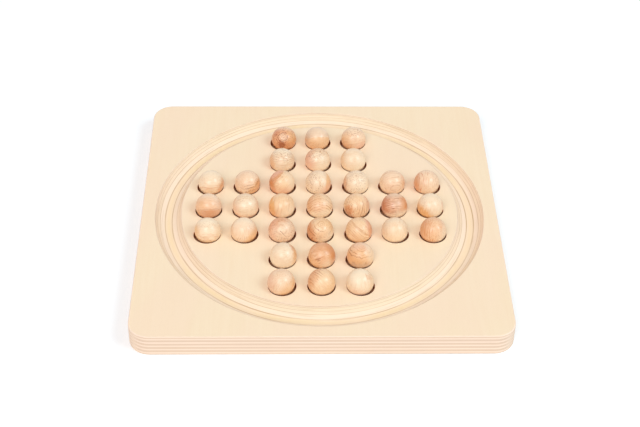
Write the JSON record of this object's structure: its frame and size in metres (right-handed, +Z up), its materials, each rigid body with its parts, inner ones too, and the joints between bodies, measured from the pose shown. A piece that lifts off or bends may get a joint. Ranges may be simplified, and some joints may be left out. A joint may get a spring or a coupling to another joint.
{
  "type": "peg solitaire board",
  "caption": "Square plywood solitaire board with rounded corners, a ring groove and a cross of round sockets, each holding a loose wooden ball.",
  "frame": {"origin": "centre of the underside, on the surface that the board rests on", "axes": "+Z up, +X to the right along the front edge, +Y to the back row of sockets"},
  "size_m": [0.3, 0.3, 0.0345],
  "materials": {
    "face_veneer": "sanded and clear matt lacquered",
    "long_grain_ply": "cut edge, sanded",
    "cross_grain_ply": "cut edge, sanded",
    "ball_pale": "turned, satin",
    "ball_tan": "turned, satin",
    "ball_red": "turned, satin"
  },
  "bodies": {
    "board": {"ply_01_field": "face_veneer", "ply_01_border": "face_veneer", "ply_02_field": "cross_grain_ply", "ply_02_border": "cross_grain_ply", "ply_03_field": "long_grain_ply", "ply_03_border": "long_grain_ply", "ply_04_field": "cross_grain_ply", "ply_04_border": "cross_grain_ply", "ply_05": "long_grain_ply", "ply_06": "cross_grain_ply", "ply_07": "long_grain_ply", "ply_08": "cross_grain_ply", "ply_09": "long_grain_ply", "ply_10": "cross_grain_ply", "ply_11": "face_veneer"},
    "ball_r1_c3": {"ball_r1_c3": "ball_red"},
    "ball_r1_c4": {"ball_r1_c4": "ball_pale"},
    "ball_r1_c5": {"ball_r1_c5": "ball_tan"},
    "ball_r2_c3": {"ball_r2_c3": "ball_pale"},
    "ball_r2_c4": {"ball_r2_c4": "ball_pale"},
    "ball_r2_c5": {"ball_r2_c5": "ball_pale"},
    "ball_r3_c1": {"ball_r3_c1": "ball_pale"},
    "ball_r3_c2": {"ball_r3_c2": "ball_tan"},
    "ball_r3_c3": {"ball_r3_c3": "ball_tan"},
    "ball_r3_c4": {"ball_r3_c4": "ball_pale"},
    "ball_r3_c5": {"ball_r3_c5": "ball_pale"},
    "ball_r3_c6": {"ball_r3_c6": "ball_tan"},
    "ball_r3_c7": {"ball_r3_c7": "ball_tan"},
    "ball_r4_c1": {"ball_r4_c1": "ball_red"},
    "ball_r4_c2": {"ball_r4_c2": "ball_pale"},
    "ball_r4_c3": {"ball_r4_c3": "ball_tan"},
    "ball_r4_c4": {"ball_r4_c4": "ball_tan"},
    "ball_r4_c5": {"ball_r4_c5": "ball_tan"},
    "ball_r4_c6": {"ball_r4_c6": "ball_red"},
    "ball_r4_c7": {"ball_r4_c7": "ball_pale"},
    "ball_r5_c1": {"ball_r5_c1": "ball_pale"},
    "ball_r5_c2": {"ball_r5_c2": "ball_pale"},
    "ball_r5_c3": {"ball_r5_c3": "ball_tan"},
    "ball_r5_c4": {"ball_r5_c4": "ball_tan"},
    "ball_r5_c5": {"ball_r5_c5": "ball_tan"},
    "ball_r5_c6": {"ball_r5_c6": "ball_pale"},
    "ball_r5_c7": {"ball_r5_c7": "ball_tan"},
    "ball_r6_c3": {"ball_r6_c3": "ball_pale"},
    "ball_r6_c4": {"ball_r6_c4": "ball_red"},
    "ball_r6_c5": {"ball_r6_c5": "ball_tan"},
    "ball_r7_c3": {"ball_r7_c3": "ball_pale"},
    "ball_r7_c4": {"ball_r7_c4": "ball_tan"},
    "ball_r7_c5": {"ball_r7_c5": "ball_pale"}
  },
  "joints": [
    {"name": "lift_r1_c3", "type": "slide", "parent": "board", "child": "ball_r1_c3", "axis": [0, 0, 1], "range_m": [0, 0.03]},
    {"name": "lift_r1_c4", "type": "slide", "parent": "board", "child": "ball_r1_c4", "axis": [0, 0, 1], "range_m": [0, 0.03]},
    {"name": "lift_r1_c5", "type": "slide", "parent": "board", "child": "ball_r1_c5", "axis": [0, 0, 1], "range_m": [0, 0.03]},
    {"name": "lift_r2_c3", "type": "slide", "parent": "board", "child": "ball_r2_c3", "axis": [0, 0, 1], "range_m": [0, 0.03]},
    {"name": "lift_r2_c4", "type": "slide", "parent": "board", "child": "ball_r2_c4", "axis": [0, 0, 1], "range_m": [0, 0.03]},
    {"name": "lift_r2_c5", "type": "slide", "parent": "board", "child": "ball_r2_c5", "axis": [0, 0, 1], "range_m": [0, 0.03]},
    {"name": "lift_r3_c1", "type": "slide", "parent": "board", "child": "ball_r3_c1", "axis": [0, 0, 1], "range_m": [0, 0.03]},
    {"name": "lift_r3_c2", "type": "slide", "parent": "board", "child": "ball_r3_c2", "axis": [0, 0, 1], "range_m": [0, 0.03]},
    {"name": "lift_r3_c3", "type": "slide", "parent": "board", "child": "ball_r3_c3", "axis": [0, 0, 1], "range_m": [0, 0.03]},
    {"name": "lift_r3_c4", "type": "slide", "parent": "board", "child": "ball_r3_c4", "axis": [0, 0, 1], "range_m": [0, 0.03]},
    {"name": "lift_r3_c5", "type": "slide", "parent": "board", "child": "ball_r3_c5", "axis": [0, 0, 1], "range_m": [0, 0.03]},
    {"name": "lift_r3_c6", "type": "slide", "parent": "board", "child": "ball_r3_c6", "axis": [0, 0, 1], "range_m": [0, 0.03]},
    {"name": "lift_r3_c7", "type": "slide", "parent": "board", "child": "ball_r3_c7", "axis": [0, 0, 1], "range_m": [0, 0.03]},
    {"name": "lift_r4_c1", "type": "slide", "parent": "board", "child": "ball_r4_c1", "axis": [0, 0, 1], "range_m": [0, 0.03]},
    {"name": "lift_r4_c2", "type": "slide", "parent": "board", "child": "ball_r4_c2", "axis": [0, 0, 1], "range_m": [0, 0.03]},
    {"name": "lift_r4_c3", "type": "slide", "parent": "board", "child": "ball_r4_c3", "axis": [0, 0, 1], "range_m": [0, 0.03]},
    {"name": "lift_r4_c4", "type": "slide", "parent": "board", "child": "ball_r4_c4", "axis": [0, 0, 1], "range_m": [0, 0.03]},
    {"name": "lift_r4_c5", "type": "slide", "parent": "board", "child": "ball_r4_c5", "axis": [0, 0, 1], "range_m": [0, 0.03]},
    {"name": "lift_r4_c6", "type": "slide", "parent": "board", "child": "ball_r4_c6", "axis": [0, 0, 1], "range_m": [0, 0.03]},
    {"name": "lift_r4_c7", "type": "slide", "parent": "board", "child": "ball_r4_c7", "axis": [0, 0, 1], "range_m": [0, 0.03]},
    {"name": "lift_r5_c1", "type": "slide", "parent": "board", "child": "ball_r5_c1", "axis": [0, 0, 1], "range_m": [0, 0.03]},
    {"name": "lift_r5_c2", "type": "slide", "parent": "board", "child": "ball_r5_c2", "axis": [0, 0, 1], "range_m": [0, 0.03]},
    {"name": "lift_r5_c3", "type": "slide", "parent": "board", "child": "ball_r5_c3", "axis": [0, 0, 1], "range_m": [0, 0.03]},
    {"name": "lift_r5_c4", "type": "slide", "parent": "board", "child": "ball_r5_c4", "axis": [0, 0, 1], "range_m": [0, 0.03]},
    {"name": "lift_r5_c5", "type": "slide", "parent": "board", "child": "ball_r5_c5", "axis": [0, 0, 1], "range_m": [0, 0.03]},
    {"name": "lift_r5_c6", "type": "slide", "parent": "board", "child": "ball_r5_c6", "axis": [0, 0, 1], "range_m": [0, 0.03]},
    {"name": "lift_r5_c7", "type": "slide", "parent": "board", "child": "ball_r5_c7", "axis": [0, 0, 1], "range_m": [0, 0.03]},
    {"name": "lift_r6_c3", "type": "slide", "parent": "board", "child": "ball_r6_c3", "axis": [0, 0, 1], "range_m": [0, 0.03]},
    {"name": "lift_r6_c4", "type": "slide", "parent": "board", "child": "ball_r6_c4", "axis": [0, 0, 1], "range_m": [0, 0.03]},
    {"name": "lift_r6_c5", "type": "slide", "parent": "board", "child": "ball_r6_c5", "axis": [0, 0, 1], "range_m": [0, 0.03]},
    {"name": "lift_r7_c3", "type": "slide", "parent": "board", "child": "ball_r7_c3", "axis": [0, 0, 1], "range_m": [0, 0.03]},
    {"name": "lift_r7_c4", "type": "slide", "parent": "board", "child": "ball_r7_c4", "axis": [0, 0, 1], "range_m": [0, 0.03]},
    {"name": "lift_r7_c5", "type": "slide", "parent": "board", "child": "ball_r7_c5", "axis": [0, 0, 1], "range_m": [0, 0.03]}
  ]
}
